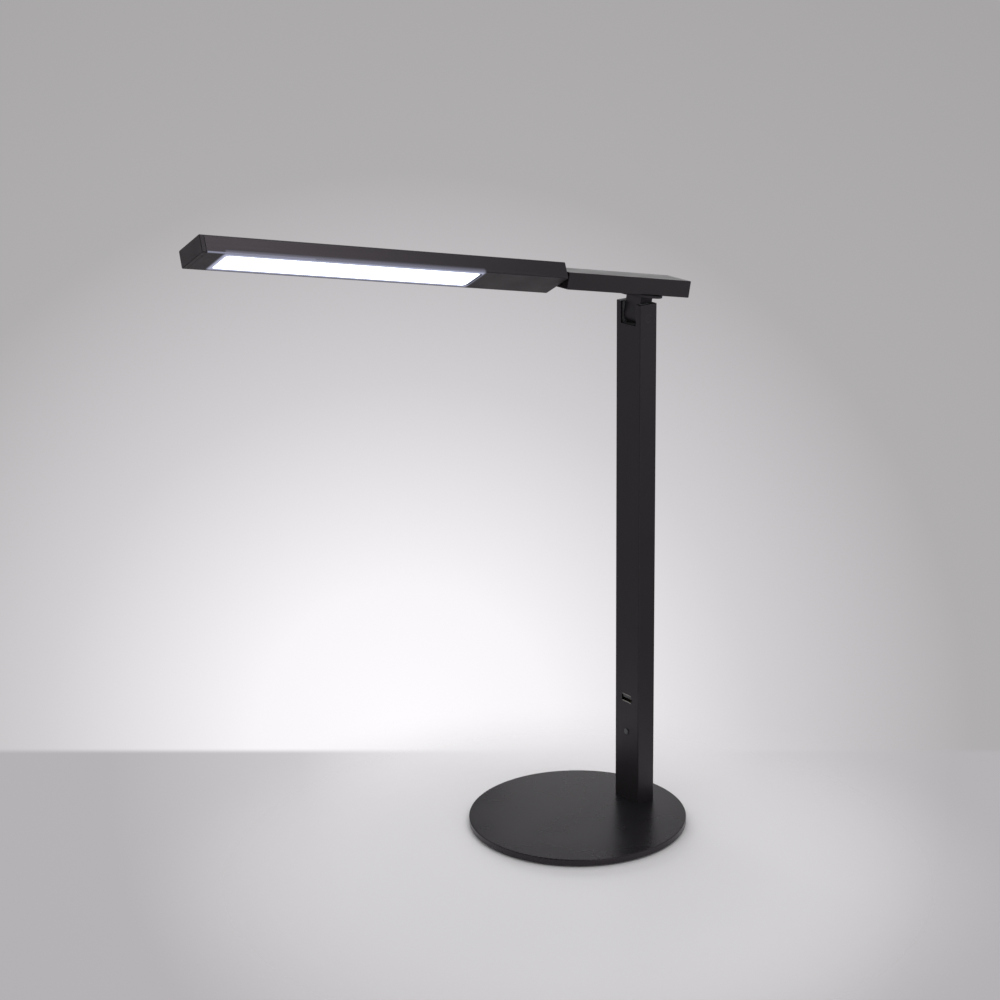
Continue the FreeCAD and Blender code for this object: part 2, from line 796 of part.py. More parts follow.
def rear_block():
    block = box((head_x0, rear_block_x1), span(0, 2 * cover_half), (cover_top, head_roof_z))
    block = block.cut(rod(roll_dia + 2 * thread_gap, (head_x0 - over, 0, 0), (rear_block_x1 + over, 0, 0)))
    for y in rear_screw_ys:
        block = block.cut(rear_screw(y, thread_gap))
    return block


save("head_housing", head_housing(), head_place)
save("head_cover", head_cover(), head_place)
save("tip_cap", tip_cap(), head_place)
save("rear_block", rear_block(), head_place)
save("rear_screws", [rear_screw(y) for y in rear_screw_ys], head_place)


# Light: diffuser in the window, reflector with sloping walls, and two rows of diodes on a board

def diffuser():
    pane = box((window_x0 + fit_gap, window_x1 - fit_gap), span(0, window_width - 2 * fit_gap),
               (head_under + diffuser_back, cover_top))
    pane = rounded(pane, window_corner - fit_gap, V(0, 0, 1))
    rim = box((window_x0 - diffuser_rim, window_x1 + diffuser_rim), span(0, 2 * (leg_inner - fit_gap)),
              (cover_top, rim_top))
    return pane.fuse(rim).removeSplitter()


def sloped_box(inset, low, high):
    """Block whose walls lean in towards the top, drawn in by an inset all round."""
    wires = []
    slope_in = leg_inner - fit_gap - reflector_top_width / 2
    for z, lean in ((low, 0.0), (high, 1.0)):
        x0 = window_x0 - diffuser_rim + inset + lean * reflector_slope_run
        x1 = window_x1 + diffuser_rim - inset - lean * reflector_slope_run
        y = leg_inner - fit_gap - inset - lean * slope_in
        wires.append(Part.makePolygon([V(x0, -y, z), V(x1, -y, z), V(x1, y, z), V(x0, y, z), V(x0, -y, z)]))
    return Part.makeLoft(wires, True, True)


def reflector():
    outer = sloped_box(0.0, rim_top, led_board_under)
    return outer.cut(sloped_box(reflector_thick, rim_top, led_board_under))


def led_board():
    xs = (window_x0 - diffuser_rim + reflector_slope_run, window_x1 + diffuser_rim - reflector_slope_run)
    return box(xs, span(0, led_board_width), (led_board_under, head_roof_z))


def leds():
    pitch = (window_x1 - window_x0) / led_count
    chips = []
    for row in range(led_rows):
        y = (row - (led_rows - 1) / 2) * led_row_pitch
        for k in range(led_count):
            x = window_x0 + (k + 0.5) * pitch
            chips.append(box(span(x, led_length), span(y, led_width),
                             (led_board_under - led_tall, led_board_under)))
    return chips


def driver_board():
    return box((driver_x0, driver_x1), span(0, driver_width), (led_board_under, head_roof_z))


def driver_parts():
    middle = (driver_x0 + driver_x1) / 2
    side = driver_width / 4
    chip_zs = (led_board_under - chip_tall, led_board_under)
    choke = box(span(middle, choke_size), span(side, choke_size),
                (led_board_under - choke_tall, led_board_under))
    chip = box(span(middle, chip_length), span(-side, chip_width), chip_zs)
    second = box(span(driver_x1 - chip_length, chip_length), span(-side, chip_width), chip_zs)
    return [rounded(choke, choke_size / 5, V(0, 0, 1)), chip, second]


def head_wire():
    level = led_board_under - wire_dia / 2
    start = rear_block_x1 + wire_dia
    end = driver_x0 + wire_dia
    route = [(head_x0, 0, 0), (start, 0, 0), (driver_x0 - wire_dia, 0, level), (end, 0, level)]
    return lead(route, wire_dia, wire_bend)


save("diffuser", diffuser(), head_place)
save("reflector", reflector(), head_place)
save("led_board", led_board(), head_place)
save("leds", leds(), head_place)
save("driver_board", driver_board(), head_place)
save("driver_parts", driver_parts(), head_place)
save("head_wire", head_wire(), head_place)
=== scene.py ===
# %% [markdown]
# # A black LED table lamp
# The lamp is a heavy round base, a rectangular post with a charging socket and a button, a hinge that
# tilts and swivels, a short arm, and a long flat light head that rolls about the arm. Its solid pieces
# come ready made at their real size, in one frame with the moving model, so nothing is fitted here. This
# lesson sets the camera, the studio and the light, gives every surface its finish, and adds the fine
# fittings that are only for the eye.

# %% Load the lamp
import bmesh
import bpy
import json
import math
from mathutils import Matrix, Vector

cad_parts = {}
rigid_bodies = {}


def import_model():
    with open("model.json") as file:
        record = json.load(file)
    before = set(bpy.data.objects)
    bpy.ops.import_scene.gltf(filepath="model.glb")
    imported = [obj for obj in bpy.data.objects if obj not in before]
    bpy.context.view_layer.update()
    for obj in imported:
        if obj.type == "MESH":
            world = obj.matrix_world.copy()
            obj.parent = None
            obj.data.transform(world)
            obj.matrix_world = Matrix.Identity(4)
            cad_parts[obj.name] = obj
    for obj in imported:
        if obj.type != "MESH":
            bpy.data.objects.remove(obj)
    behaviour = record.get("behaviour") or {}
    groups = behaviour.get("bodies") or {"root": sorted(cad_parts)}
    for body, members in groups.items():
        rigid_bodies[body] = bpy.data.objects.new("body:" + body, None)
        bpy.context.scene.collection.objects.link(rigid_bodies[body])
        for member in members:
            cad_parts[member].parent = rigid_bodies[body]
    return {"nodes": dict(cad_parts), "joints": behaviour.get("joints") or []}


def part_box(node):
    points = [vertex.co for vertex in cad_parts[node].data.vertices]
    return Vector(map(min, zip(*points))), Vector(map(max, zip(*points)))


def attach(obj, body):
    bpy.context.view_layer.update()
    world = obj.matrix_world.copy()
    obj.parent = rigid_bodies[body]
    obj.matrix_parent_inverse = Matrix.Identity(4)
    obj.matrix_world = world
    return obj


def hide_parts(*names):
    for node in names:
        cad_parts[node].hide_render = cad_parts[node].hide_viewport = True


for leftover in list(bpy.data.objects):
    bpy.data.objects.remove(leftover)
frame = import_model()
nodes = frame["nodes"]
joints = {joint["name"]: joint for joint in frame["joints"]}
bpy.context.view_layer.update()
MM = 0.001
UP = Vector((0, 0, 1))

# %% [markdown]
# ## The camera
# A lamp like this is photographed from some way off with a long lens, so that its parallel edges stay
# nearly parallel. The camera could be aimed with a constraint at an empty, but then its roll is lost. Here
# it is placed by where it stands, the way it looks and a small roll, which together with the lens are all
# that a picture's perspective holds.

# %% Place the camera
camera_place = Vector((1.15410, 1.50503, 0.86450))
look_azimuth = math.radians(144.368)
look_elevation = math.radians(17.150)
camera_roll = math.radians(-0.690)
lens_mm = 89.46
sensor_mm = 36.0

back = Vector((math.sin(look_azimuth) * math.cos(look_elevation),
               -math.cos(look_azimuth) * math.cos(look_elevation),
               math.sin(look_elevation)))
level_right = UP.cross(back).normalized()
level_up = back.cross(level_right)
camera_right = level_right * math.cos(camera_roll) + level_up * math.sin(camera_roll)
camera_up = level_up * math.cos(camera_roll) - level_right * math.sin(camera_roll)

camera = bpy.data.objects.new("camera", bpy.data.cameras.new("camera"))
camera.data.lens = lens_mm
camera.data.sensor_width = sensor_mm
camera.matrix_world = Matrix.Translation(camera_place) @ Matrix(
    (camera_right, camera_up, back)).transposed().to_4x4()
bpy.context.collection.objects.link(camera)
bpy.context.scene.camera = camera
bpy.context.scene.view_settings.view_transform = "Standard"
print("camera at", [round(c, 3) for c in camera_place], "with a", lens_mm, "mm lens")

# %% [markdown]
# ## Two helpers for shader trees
# Every finish below is a small tree of nodes. Colours are written as sRGB hex, the way a paint card or a
# picture gives them, and shaders work in linear light, so one function turns the first into the second.
# A second function adds one node with its settings and its links, so a tree reads from top to bottom.

# %% Helpers: colour and nodes
MIX_FACTOR, MIX_A, MIX_B, MIX_RESULT = 0, 6, 7, 2


def colour(hex_code):
    channels = [int(hex_code[k:k + 2], 16) / 255 for k in (1, 3, 5)]
    linear = [c / 12.92 if c <= 0.04045 else ((c + 0.055) / 1.055) ** 2.4 for c in channels]
    return (*linear, 1.0)


def add(tree, kind, settings=None, values=None, links=None):
    node = tree.nodes.new(kind)
    for name, setting in (settings or {}).items():
        setattr(node, name, setting)
    for socket, value in (values or {}).items():
        node.inputs[socket].default_value = value
    for socket, source in (links or {}).items():
        tree.links.new(source, node.inputs[socket])
    return node


print("mid grey in linear light:", round(colour("#808080")[0], 3))

# %% [markdown]
# ## The studio: floor and backdrop
# The lamp stands on a plain pale floor. A floor that runs to the horizon would draw a hard line behind the
# lamp in low views, and a wall would hide the lamp from behind. So the floor is a disc that fades out round
# a point just in front of the lamp. It keeps the lamp's shadow, and past it the world is seen.

# %% Make the floor
floor_radius = 2.4
floor_sides = 96
floor_fade_start = 0.15
floor_fade_end = 0.36
floor_fade_middle = (0.055, 0.071, 0)
floor_colour = colour("#DCDADC")


def studio_floor_paper():
    paper = bpy.data.materials.new("studio_floor_paper")
    paper.use_nodes = True
    tree = paper.node_tree
    tree.nodes.clear()
    place = add(tree, "ShaderNodeTexCoord").outputs["Object"]
    away = add(tree, "ShaderNodeVectorMath", {"operation": "DISTANCE"}, {1: floor_fade_middle}, {0: place})
    fade = add(tree, "ShaderNodeMapRange", {"interpolation_type": "SMOOTHSTEP"},
               {"From Min": floor_fade_start, "From Max": floor_fade_end}, {"Value": away.outputs["Value"]})
    matte = add(tree, "ShaderNodeBsdfDiffuse", values={"Color": floor_colour})
    clear = add(tree, "ShaderNodeBsdfTransparent")
    mix = add(tree, "ShaderNodeMixShader", links={
        0: fade.outputs["Result"], 1: matte.outputs["BSDF"], 2: clear.outputs["BSDF"]})
    add(tree, "ShaderNodeOutputMaterial", links={"Surface": mix.outputs["Shader"]})
    return paper


disc = bmesh.new()
bmesh.ops.create_circle(disc, cap_ends=True, segments=floor_sides, radius=floor_radius)
floor_mesh = bpy.data.meshes.new("floor")
disc.to_mesh(floor_mesh)
disc.free()
floor_mesh.materials.append(studio_floor_paper())
floor = bpy.data.objects.new("floor", floor_mesh)
bpy.context.collection.objects.link(floor)
print("floor fades out", floor_fade_start, "to", floor_fade_end, "m from", floor_fade_middle)

# %% [markdown]
# Past the floor the world stands in for a wall and a table top. Each is a soft round pool of painted light
# and shade about one direction, and a level line parts them. Far from their middles both pools end in the
# same pale grey, so the line shows only behind the lamp in the first view, and the other sides have a plain
# background.
# Only the camera sees the pools. Reflections meet tones that follow height, with a bright band for the black
# faces to mirror, and other rays meet an even grey, so the background's brightness never adds light.

# %% Make the backdrop
# The wall and table pools are painted light and shade: a bright patch on each, darker round it, cast by no
# lamp.
wall_painted_light_azimuth = math.radians(146.8)
wall_painted_light_elevation = math.radians(-22.5)
wall_painted_light_reach = math.radians(34.0)
wall_painted_light_tones = ((0.0, "#FFFDFF"), (0.10, "#F9F6F9"), (0.24, "#D2CFD2"), (0.38, "#B0AEAF"), (0.62, "#A7A5A6"),
              (1.0, "#D6D4D6"))
table_painted_light_azimuth = math.radians(143.7)
table_painted_light_elevation = math.radians(-23.1)
table_painted_light_reach = math.radians(24.0)
table_painted_light_tones = ((0.0, "#F8F5F8"), (0.12, "#E8E5E8"), (0.22, "#CCC9CC"), (0.40, "#B6B3B6"), (0.57, "#B4B1B4"),
              (1.0, "#D6D4D6"))
horizon_below_axis = 0.1010
horizon_softness = 0.0012
horizon_up = camera_up - horizon_below_axis * back
mirror_tones = ((0.0, "#B8B7B8"), (0.20, "#B2B1B2"), (0.30, "#7E7D7E"), (0.45, "#878687"), (0.48, "#E0DFE0"),
                (0.51, "#FFFEFF"), (0.58, "#FFFEFF"), (0.635, "#6C6B6C"), (1.0, "#7C7B7C"))
ambient_level = 0.55


def tone_ramp(tree, tones, source):
    ramp = add(tree, "ShaderNodeValToRGB", links={"Fac": source})
    stops = ramp.color_ramp.elements
    while len(stops) < len(tones):
        stops.new(0.5)
    for stop, (position, hex_code) in zip(stops, tones):
        stop.position = position
        stop.color = colour(hex_code)
    return ramp.outputs["Color"]


world = bpy.data.worlds.new("studio")
bpy.context.scene.world = world
world.use_nodes = True
sky = world.node_tree
sky.nodes.clear()
way = add(sky, "ShaderNodeTexCoord").outputs["Generated"]


# Each pool is painted light: its tone follows the angle from its middle direction.
def painted_light_pool(azimuth, elevation, reach, tones):
    middle = (-math.sin(azimuth) * math.cos(elevation), math.cos(azimuth) * math.cos(elevation),
              math.sin(elevation))
    near = add(sky, "ShaderNodeVectorMath", {"operation": "DOT_PRODUCT"}, {1: middle}, {0: way})
    angle = add(sky, "ShaderNodeMath", {"operation": "ARCCOSINE"}, links={0: near.outputs["Value"]})
    share = add(sky, "ShaderNodeMath", {"operation": "DIVIDE"}, {1: reach}, {0: angle.outputs["Value"]})
    return tone_ramp(sky, tones, share.outputs["Value"])


wall_painted_light = painted_light_pool(wall_painted_light_azimuth, wall_painted_light_elevation, wall_painted_light_reach, wall_painted_light_tones)
table_painted_light = painted_light_pool(table_painted_light_azimuth, table_painted_light_elevation, table_painted_light_reach, table_painted_light_tones)
height = add(sky, "ShaderNodeSeparateXYZ", links={"Vector": way}).outputs["Z"]
rise = add(sky, "ShaderNodeVectorMath", {"operation": "DOT_PRODUCT"}, {1: horizon_up}, {0: way})
above_ground = add(sky, "ShaderNodeMapRange", {"interpolation_type": "SMOOTHSTEP"},
                   {"From Min": -horizon_softness, "From Max": horizon_softness},
                   {"Value": rise.outputs["Value"]})
seen = add(sky, "ShaderNodeMix", {"data_type": "RGBA"}, links={
    MIX_FACTOR: above_ground.outputs["Result"], MIX_A: table_painted_light, MIX_B: wall_painted_light}).outputs[MIX_RESULT]
from_below = add(sky, "ShaderNodeMapRange", values={"From Min": -1.0}, links={"Value": height})
mirrored = tone_ramp(sky, mirror_tones, from_below.outputs["Result"])
rays = add(sky, "ShaderNodeLightPath").outputs
glossy = add(sky, "ShaderNodeMath", {"operation": "MAXIMUM"}, links={
    0: rays["Is Glossy Ray"], 1: rays["Is Transmission Ray"]})
even = add(sky, "ShaderNodeBackground", values={"Color": colour("#FFFFFF"), "Strength": ambient_level})
shown = add(sky, "ShaderNodeBackground", links={"Color": seen})
reflected = add(sky, "ShaderNodeBackground", links={"Color": mirrored})
lit_or_mirrored = add(sky, "ShaderNodeMixShader", links={
    0: glossy.outputs["Value"], 1: even.outputs["Background"], 2: reflected.outputs["Background"]})
surroundings = add(sky, "ShaderNodeMixShader", links={
    0: rays["Is Camera Ray"], 1: lit_or_mirrored.outputs["Shader"], 2: shown.outputs["Background"]})
add(sky, "ShaderNodeOutputWorld", links={"Surface": surroundings.outputs["Shader"]})
print("backdrop has", len(wall_painted_light_tones) + len(table_painted_light_tones), "tones, and the ambient light is", ambient_level)

# %% [markdown]
# ## The light
# Black satin shows its light as broad soft sheen, and each flat face mirrors one place in the studio. So the
# light is built face by face: a wide panel overhead gives the even light, a near one lights the head's side,
# a low one behind the lamp draws the sheen on the base, and two small ones lift the head's lower edge and
# the faces round the hinge. A broad low one far behind drops the base's soft shadow toward the camera, and
# is hidden from reflections. Bare lamps would draw hard streaks on the coat.

# %% Hang the soft panels
watts_per_level = 4
unmirrored_panel = "shadow_panel"
panels = {
    "overhead_panel": {"place": (-0.55, -0.75, 1.5), "aim": (0, 0, 0.1), "size": (1.4, 1.4), "level": 0.7},
    "near_panel": {"place": (-0.17, 0.5, 1.0), "aim": (0.2, 0, 0.48), "size": (0.4, 0.5), "level": 2.2},
    "low_panel": {"place": (-0.41, -0.5, 0.15), "aim": (0, 0, 0.1), "size": (0.22, 0.3), "level": 0.36},
    "edge_panel": {"place": (0.02, 0.5, 0.14), "aim": (0.24, 0, 0.48), "size": (0.18, 0.26), "level": 0.8},
    "hinge_panel": {"place": (-0.42, 0.46, 0.28), "aim": (-0.06, 0, 0.4), "size": (0.2, 0.16),
                    "level": 0.32},
    "shadow_panel": {"place": (-0.52, -1.34, 0.42), "aim": (0, 0, 0), "size": (1.2, 0.45), "level": 6.0},
}
for name, panel in panels.items():
    light = bpy.data.lights.new(name, "AREA")
    light.shape = "RECTANGLE"
    light.size, light.size_y = panel["size"]
    light.energy = watts_per_level * panel["level"] * light.size * light.size_y
    hung = bpy.data.objects.new(name, light)
    hung.location = panel["place"]
    hung.rotation_euler = (Vector(panel["place"]) - Vector(panel["aim"])).to_track_quat("Z", "Y").to_euler()
    hung.visible_camera = False
    hung.visible_glossy = name != unmirrored_panel
    bpy.context.collection.objects.link(hung)
print("hung", ", ".join(panels))

# %% [markdown]
# ## Patterns that several finishes share
# A painted or moulded surface is never one flat colour. Three things give it away: slow clouds of tone
# from the spray or the mould, a fine grain that breaks up the sheen, and edges that hands and cloths have
# rubbed a little. The clouds and the grain are noise, with scales worked out from a size in millimetres.
# The edges could be painted by hand, but a bevel node finds them: where a rounded normal leaves the true
# one, there is an edge. Black dyes also leave a faint purple sheen, which goes on the shader as the tint of
# its reflections.

# %% Helpers: a new finish and its patterns
black_sheen = colour("#FFF1FF")
cloud_detail = 3.0
noise_low, noise_high = 0.3, 0.7
bevel_samples = 8
edge_starts, edge_full = 0.985, 0.85
rub_patch_mm = 9.0


def start_finish(name):
    finish = bpy.data.materials.new(name)
    finish.use_nodes = True
    tree = finish.node_tree
    tree.nodes.clear()
    shader = add(tree, "ShaderNodeBsdfPrincipled")
    add(tree, "ShaderNodeOutputMaterial", links={"Surface": shader.outputs["BSDF"]})
    place = add(tree, "ShaderNodeTexCoord").outputs["Object"]
    return finish, tree, shader, place


def shader_of(finish):
    return next(node for node in finish.node_tree.nodes if node.type == "BSDF_PRINCIPLED")


def per_mm(size):
    return 1 / (size * MM)


def clouds(tree, place, size_mm):
    return add(tree, "ShaderNodeTexNoise", values={"Scale": per_mm(size_mm), "Detail": cloud_detail},
               links={"Vector": place}).outputs["Fac"]


def between(tree, share, first, second):
    mix = add(tree, "ShaderNodeMix", {"data_type": "RGBA"},
              {MIX_A: colour(first), MIX_B: colour(second)}, {MIX_FACTOR: share})
    return mix.outputs[MIX_RESULT]


def spread(tree, share, low, high):
    return add(tree, "ShaderNodeMapRange", links={"Value": share}, values={
        "From Min": noise_low, "From Max": noise_high, "To Min": low, "To Max": high}).outputs["Result"]


def add_relief(tree, shader, pattern, strength, depth_mm):
    bump = add(tree, "ShaderNodeBump", values={"Strength": strength, "Distance": depth_mm * MM},
               links={"Height": pattern})
    tree.links.new(bump.outputs["Normal"], shader.inputs["Normal"])


def worn_edges(tree, place, coat, width_mm, bare):
    soft = add(tree, "ShaderNodeBevel", {"samples": bevel_samples}, {"Radius": width_mm * MM})
    true = add(tree, "ShaderNodeNewGeometry")
    same = add(tree, "ShaderNodeVectorMath", {"operation": "DOT_PRODUCT"},
               links={0: soft.outputs["Normal"], 1: true.outputs["Normal"]})
    edge = add(tree, "ShaderNodeMapRange", values={"From Min": edge_starts, "From Max": edge_full},
               links={"Value": same.outputs["Value"]})
    patches = clouds(tree, place, rub_patch_mm)
    rubbed = add(tree, "ShaderNodeMath", {"operation": "MULTIPLY"},
                 links={0: edge.outputs["Result"], 1: patches})
    worn = add(tree, "ShaderNodeMix", {"data_type": "RGBA"}, {MIX_B: colour(bare)},
               {MIX_FACTOR: rubbed.outputs["Value"], MIX_A: coat})
    return worn.outputs[MIX_RESULT]


print("a 1 mm grain has a noise scale of", per_mm(1.0))

# %% [markdown]
# ## Powder-coated steel: the base and the arm's floor plate
# The base is a cut steel disc with a black powder coat, baked until it flows. The coat is satin: it shows a
# soft blurred picture of the post standing on it. Under a lens it has a fine orange-peel ripple. The true
# ripple is about 0.3 mm wide, too fine for this picture, so it is drawn three times as wide and very low.

# %% Finish: powder-coated steel
coat_cloud_mm = 42.0
peel_width_mm = 0.9
peel_depth_mm = 0.010
peel_strength = 0.18
coat_edge_mm = 0.5
coat_roughness = (0.25, 0.31)


def powder_coated_steel():
    finish, tree, shader, place = start_finish("powder_coated_steel")
    cloud = clouds(tree, place, coat_cloud_mm)
    coat = between(tree, cloud, "#131214", "#19181A")
    shader.inputs["Specular Tint"].default_value = black_sheen
    tree.links.new(worn_edges(tree, place, coat, coat_edge_mm, "#3A393C"), shader.inputs["Base Color"])
    tree.links.new(spread(tree, cloud, *coat_roughness), shader.inputs["Roughness"])
    add_relief(tree, shader, clouds(tree, place, peel_width_mm), peel_strength, peel_depth_mm)
    return finish


base_coat = powder_coated_steel()
print("made", base_coat.name)

# %% [markdown]
# ## Black extrusion: the post and the head's channel
# Both are pushed through a die, then blackened. The die leaves faint lines that run the whole length, so
# the sheen is drawn out along the piece. Plain noise has no direction, so its coordinates are first turned
# to lie along the piece, then squeezed across it. One function makes the finish for any direction: up for
# the post, and along the roll joint's axis for the head.

# %% Finish: black anodised extrusion
die_line_length_mm = 90.0
die_line_width_mm = 0.7
die_line_depth_mm = 0.006
die_line_strength = 0.4
die_line_detail = 2.0
dye_cloud_mm = 30.0
dye_edge_mm = 0.5
dye_roughness = (0.36, 0.44)


def black_anodised_extrusion(name, along):
    finish, tree, shader, place = start_finish(name)
    turn = along.rotation_difference(Vector((1, 0, 0))).to_euler()
    laid = add(tree, "ShaderNodeMapping", values={"Rotation": turn}, links={"Vector": place})
    drawn = add(tree, "ShaderNodeVectorMath", {"operation": "MULTIPLY"},
                {1: (per_mm(die_line_length_mm), per_mm(die_line_width_mm), per_mm(die_line_width_mm))},
                {0: laid.outputs["Vector"]})
    lines = add(tree, "ShaderNodeTexNoise", values={"Scale": 1.0, "Detail": die_line_detail},
                links={"Vector": drawn.outputs["Vector"]}).outputs["Fac"]
    cloud = clouds(tree, place, dye_cloud_mm)
    coat = between(tree, cloud, "#131213", "#181718")
    shader.inputs["Specular Tint"].default_value = black_sheen
    tree.links.new(worn_edges(tree, place, coat, dye_edge_mm, "#57565A"), shader.inputs["Base Color"])
    tree.links.new(spread(tree, lines, *dye_roughness), shader.inputs["Roughness"])
    add_relief(tree, shader, lines, die_line_strength, die_line_depth_mm)
    return finish


head_along = Vector(joints["head_roll"]["axis"])
post_skin = black_anodised_extrusion("black_anodised_post", UP)
head_skin = black_anodised_extrusion("black_anodised_head_painted_glow", head_along)
print("made", post_skin.name, "and", head_skin.name)

# %% [markdown]
# ## Black die casting: the arm, the knuckle and the fork
# These are cast in zinc and dip-coated in black. A casting is softer at its edges than an extrusion and has
# a slight all-round unevenness, with no direction, from the way the metal froze against the die. The hinge's
# rubbing faces have a dull phosphate in place of the coat. The fork inside the post is pale grey zinc, made
# pale as painted light, to lift the shade in its slot.

# %% Finish: dip-coated zinc casting
casting_cloud_mm = 16.0
casting_skin_mm = 1.4
casting_skin_depth_mm = 0.012
casting_skin_strength = 0.35
casting_edge_mm = 0.6


def zinc_casting(name, first, second, bare, smooth, rough):
    finish, tree, shader, place = start_finish(name)
    cloud = clouds(tree, place, casting_cloud_mm)
    coat = between(tree, cloud, first, second)
    skin = clouds(tree, place, casting_skin_mm)
    shader.inputs["Specular Tint"].default_value = black_sheen
    tree.links.new(worn_edges(tree, place, coat, casting_edge_mm, bare), shader.inputs["Base Color"])
    tree.links.new(spread(tree, cloud, smooth, rough), shader.inputs["Roughness"])
    add_relief(tree, shader, skin, casting_skin_strength, casting_skin_depth_mm)
    return finish


casting = zinc_casting("dipped_zinc_casting", "#131112", "#1A1819", "#3B393A", 0.30, 0.38)
hinge_casting = zinc_casting("phosphated_zinc_hinge", "#0F1012", "#141517", "#2E2F31", 0.52, 0.6)
# Painted light: the fork's pale grey lightens the shaded slot in the post.
fork_casting_painted_light = zinc_casting("pale_zinc_fork_painted_light", "#5A5A5D", "#646467", "#6C6C6E", 0.45, 0.55)
print("made", casting.name, hinge_casting.name, fork_casting_painted_light.name)

# %% [markdown]
# ## Moulded ABS: the head's cover, the tip cap and the inlet
# The covers are injection moulded. The mould is spark-eroded, which prints a fine pebble on the plastic and
# takes away its gloss, so these pieces look a little duller and warmer than the coated metal beside them.
# The pebble is a cell pattern; the true one is 0.2 mm, and it is drawn at 0.6 mm to show.

# %% Finish: spark-textured ABS
abs_cloud_mm = 22.0
abs_roughness = (0.46, 0.56)
pebble_mm = 0.6
pebble_smoothness = 0.8
pebble_depth_mm = 0.02
pebble_strength = 0.5


def spark_textured_abs(name):
    finish, tree, shader, place = start_finish(name)
    cloud = clouds(tree, place, abs_cloud_mm)
    pebble = add(tree, "ShaderNodeTexVoronoi", {"feature": "SMOOTH_F1"},
                 {"Scale": per_mm(pebble_mm), "Smoothness": pebble_smoothness}, {"Vector": place})
    shader.inputs["Specular Tint"].default_value = black_sheen
    tree.links.new(between(tree, cloud, "#171615", "#1D1B1A"), shader.inputs["Base Color"])
    tree.links.new(spread(tree, cloud, *abs_roughness), shader.inputs["Roughness"])
    add_relief(tree, shader, pebble.outputs["Distance"], pebble_strength, pebble_depth_mm)
    return finish


black_abs = spark_textured_abs("spark_textured_black_abs")
print("made", black_abs.name)

# %% [markdown]
# ## Opal polycarbonate: the lit window
# The window is a milky sheet that spreads the diodes behind it into one even field of cool white. It is the
# lamp's own light, so the finish emits, and it burns out to white in the picture. A dark ink is printed
# behind the sheet's ends, so that the field has round corners and fades there. The field's outline is the
# distance from a smaller box, which gives a rounded box when that distance is cut off at one value.

# %% Finish: lit opal polycarbonate
window_glow = 3.2
window_roll = math.radians(32.5)
window_half_length_mm = 111.2
window_half_width_mm = 11.35
field_half_length_mm = window_half_length_mm
field_lean_mm = 1.0
field_half_width_mm = window_half_width_mm + 2.0
field_round_mm = 6.0
field_soft_mm = 2.0
milk_cloud_mm = 14.0
milk_roughness = (0.42, 0.5)


def distance_past_box(tree, place, middle, sides):
    from_middle = add(tree, "ShaderNodeVectorMath", {"operation": "SUBTRACT"}, {1: middle}, {0: place})
    past = []
    for way_out, half_mm, steepness in sides:
        reach = add(tree, "ShaderNodeVectorMath", {"operation": "DOT_PRODUCT"}, {1: way_out},
                    {0: from_middle.outputs["Vector"]})
        size = add(tree, "ShaderNodeMath", {"operation": "ABSOLUTE"}, links={0: reach.outputs["Value"]})
        beyond = add(tree, "ShaderNodeMath", {"operation": "SUBTRACT", "use_clamp": True}, {1: half_mm * MM},
                     {0: size.outputs["Value"]})
        drawn_out = add(tree, "ShaderNodeMath", {"operation": "MULTIPLY"}, {1: steepness},
                        {0: beyond.outputs["Value"]})
        past.append(drawn_out.outputs["Value"])
    gap = add(tree, "ShaderNodeCombineXYZ", links=dict(zip("XYZ", past)))
    return add(tree, "ShaderNodeVectorMath", {"operation": "LENGTH"},
               links={0: gap.outputs["Vector"]}).outputs["Value"]


def lit_opal_polycarbonate():
    finish, tree, shader, place = start_finish("lit_opal_polycarbonate")
    distance = distance_past_box(tree, place, field_middle, (
        (head_along, field_half_length_mm - field_round_mm, 1.0),
        (window_across, field_half_width_mm - field_round_mm, 1.0)))
    lit = add(tree, "ShaderNodeMapRange", {"interpolation_type": "SMOOTHSTEP"},
              {"From Min": (field_round_mm - field_soft_mm) * MM, "From Max": field_round_mm * MM,
               "To Min": 1.0, "To Max": 0.0}, {"Value": distance}).outputs["Result"]
    milk = clouds(tree, place, milk_cloud_mm)
    sheet = between(tree, milk, "#F2F5FB", "#F7F9FD")
    printed = add(tree, "ShaderNodeMix", {"data_type": "RGBA"}, {MIX_A: colour("#1C1B1D")},
                  {MIX_FACTOR: lit, MIX_B: sheet})
    level = add(tree, "ShaderNodeMath", {"operation": "MULTIPLY"}, {1: window_glow}, {0: lit})
    tree.links.new(printed.outputs[MIX_RESULT], shader.inputs["Base Color"])
    tree.links.new(spread(tree, milk, *milk_roughness), shader.inputs["Roughness"])
    shader.inputs["Emission Color"].default_value = colour("#E3ECFF")
    tree.links.new(level.outputs["Value"], shader.inputs["Emission Strength"])
    return finish


window_low, window_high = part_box("diffuser")
window_middle = (window_low + window_high) / 2
field_middle = window_middle + head_along * field_lean_mm * MM
window_across = Matrix.Rotation(window_roll, 3, head_along) @ Vector((0, 1, 0))
opal = lit_opal_polycarbonate()
print("made", opal.name, "round", [round(c, 3) for c in window_middle])

# %% [markdown]
# The black parts round the window carry a painted glow, so the lit window has a soft cool halo and not a
# cut-out edge. A real lens adds to such a halo. The halo could be a blur of the finished picture, but then
# no other view or model would have it. Here the parts beside the window emit a little painted light, which
# dies away over a few millimetres from the window's outline. The channel's lower edge on the near side also
# carries a painted highlight toward the tip, as a thin bright line.

